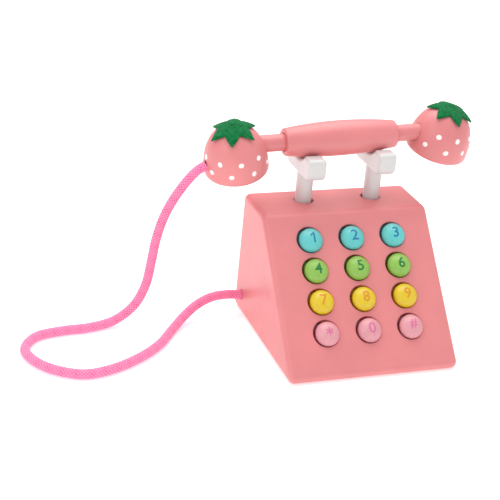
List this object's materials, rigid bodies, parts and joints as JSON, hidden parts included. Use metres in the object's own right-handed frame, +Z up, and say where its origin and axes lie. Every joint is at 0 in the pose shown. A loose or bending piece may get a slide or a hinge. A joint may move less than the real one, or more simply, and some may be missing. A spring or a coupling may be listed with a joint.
{
  "type": "toy telephone",
  "caption": "Wooden toy telephone with a sloped keypad of sprung round buttons and a strawberry-ended handset lying on two hook posts, joined by a braided rope.",
  "frame": {"origin": "middle of the underside of the base, on the surface it stands on", "axes": "+X to the right seen from the keypad, +Y to the back, +Z up"},
  "size_m": [0.3254, 0.1256, 0.158],
  "materials": {
    "pink_paint": "satin lacquer over sanded wood",
    "white_paint": "satin lacquer over sanded wood",
    "cyan_paint": "satin lacquer over turned wood",
    "green_paint": "satin lacquer over turned wood",
    "yellow_paint": "satin lacquer over turned wood",
    "pale_pink_paint": "satin lacquer over turned wood",
    "bare_wood": "unpainted, sanded",
    "screw_steel": "zinc plated",
    "spring_steel": "drawn wire",
    "green_felt": "pressed wool felt",
    "pink_rope": "braided cotton rope"
  },
  "bodies": {
    "base": {"side_board_left": "pink_paint", "side_board_right": "pink_paint", "top_board": "pink_paint", "front_board": "pink_paint", "back_board": "pink_paint", "bottom_board": "bare_wood", "bottom_screw_1": "screw_steel", "bottom_screw_2": "screw_steel", "bottom_screw_3": "screw_steel", "bottom_screw_4": "screw_steel", "cleat_left": "bare_wood", "cleat_right": "bare_wood", "spring_board": "bare_wood", "spring_board_screw_1": "screw_steel", "spring_board_screw_2": "screw_steel", "spring_board_screw_3": "screw_steel", "spring_board_screw_4": "screw_steel", "button_spring_1": "spring_steel", "button_spring_2": "spring_steel", "button_spring_3": "spring_steel", "button_spring_4": "spring_steel", "button_spring_5": "spring_steel", "button_spring_6": "spring_steel", "button_spring_7": "spring_steel", "button_spring_8": "spring_steel", "button_spring_9": "spring_steel", "button_spring_star": "spring_steel", "button_spring_0": "spring_steel", "button_spring_hash": "spring_steel", "hook_shelf": "bare_wood", "hook_spring_left": "spring_steel", "hook_spring_right": "spring_steel", "cord": "pink_rope", "cord_knot": "pink_rope"},
    "hook": {"hook_post_left": "white_paint", "hook_post_right": "white_paint", "hook_head_left": "white_paint", "hook_head_right": "white_paint", "hook_crossbar": "bare_wood"},
    "handset": {"grip": "pink_paint", "neck_left": "pink_paint", "neck_right": "pink_paint", "cup_left": "pink_paint", "cup_right": "pink_paint", "leaf_left": "green_felt", "leaf_right": "green_felt"},
    "key_1": {"button_1": "cyan_paint"},
    "key_2": {"button_2": "cyan_paint"},
    "key_3": {"button_3": "cyan_paint"},
    "key_4": {"button_4": "green_paint"},
    "key_5": {"button_5": "green_paint"},
    "key_6": {"button_6": "green_paint"},
    "key_7": {"button_7": "yellow_paint"},
    "key_8": {"button_8": "yellow_paint"},
    "key_9": {"button_9": "yellow_paint"},
    "key_star": {"button_star": "pale_pink_paint"},
    "key_0": {"button_0": "pale_pink_paint"},
    "key_hash": {"button_hash": "pale_pink_paint"}
  },
  "joints": [
    {"name": "press_1", "type": "slide", "parent": "base", "child": "key_1", "axis": [0, 0.7349, -0.6781], "range_m": [0, 0.0027], "stiffness_N_per_m": 250, "springref_m": -0.002, "deforming": ["button_spring_1"]},
    {"name": "press_2", "type": "slide", "parent": "base", "child": "key_2", "axis": [0, 0.7349, -0.6781], "range_m": [0, 0.0027], "stiffness_N_per_m": 250, "springref_m": -0.002, "deforming": ["button_spring_2"]},
    {"name": "press_3", "type": "slide", "parent": "base", "child": "key_3", "axis": [0, 0.7349, -0.6781], "range_m": [0, 0.0027], "stiffness_N_per_m": 250, "springref_m": -0.002, "deforming": ["button_spring_3"]},
    {"name": "press_4", "type": "slide", "parent": "base", "child": "key_4", "axis": [0, 0.7349, -0.6781], "range_m": [0, 0.0027], "stiffness_N_per_m": 250, "springref_m": -0.002, "deforming": ["button_spring_4"]},
    {"name": "press_5", "type": "slide", "parent": "base", "child": "key_5", "axis": [0, 0.7349, -0.6781], "range_m": [0, 0.0027], "stiffness_N_per_m": 250, "springref_m": -0.002, "deforming": ["button_spring_5"]},
    {"name": "press_6", "type": "slide", "parent": "base", "child": "key_6", "axis": [0, 0.7349, -0.6781], "range_m": [0, 0.0027], "stiffness_N_per_m": 250, "springref_m": -0.002, "deforming": ["button_spring_6"]},
    {"name": "press_7", "type": "slide", "parent": "base", "child": "key_7", "axis": [0, 0.7349, -0.6781], "range_m": [0, 0.0027], "stiffness_N_per_m": 250, "springref_m": -0.002, "deforming": ["button_spring_7"]},
    {"name": "press_8", "type": "slide", "parent": "base", "child": "key_8", "axis": [0, 0.7349, -0.6781], "range_m": [0, 0.0027], "stiffness_N_per_m": 250, "springref_m": -0.002, "deforming": ["button_spring_8"]},
    {"name": "press_9", "type": "slide", "parent": "base", "child": "key_9", "axis": [0, 0.7349, -0.6781], "range_m": [0, 0.0027], "stiffness_N_per_m": 250, "springref_m": -0.002, "deforming": ["button_spring_9"]},
    {"name": "press_star", "type": "slide", "parent": "base", "child": "key_star", "axis": [0, 0.7349, -0.6781], "range_m": [0, 0.0027], "stiffness_N_per_m": 250, "springref_m": -0.002, "deforming": ["button_spring_star"]},
    {"name": "press_0", "type": "slide", "parent": "base", "child": "key_0", "axis": [0, 0.7349, -0.6781], "range_m": [0, 0.0027], "stiffness_N_per_m": 250, "springref_m": -0.002, "deforming": ["button_spring_0"]},
    {"name": "press_hash", "type": "slide", "parent": "base", "child": "key_hash", "axis": [0, 0.7349, -0.6781], "range_m": [0, 0.0027], "stiffness_N_per_m": 250, "springref_m": -0.002, "deforming": ["button_spring_hash"]},
    {"name": "hook_press", "type": "slide", "parent": "base", "child": "hook", "axis": [0, 0, 1], "range_m": [-0.005, 0], "stiffness_N_per_m": 400, "springref_m": 0.006, "deforming": ["hook_spring_left", "hook_spring_right"]},
    {"name": "handset_lift", "type": "slide", "parent": "base", "child": "handset", "axis": [0, 0, 1], "range_m": [0, 0.03], "deforming": ["cord"]}
  ]
}
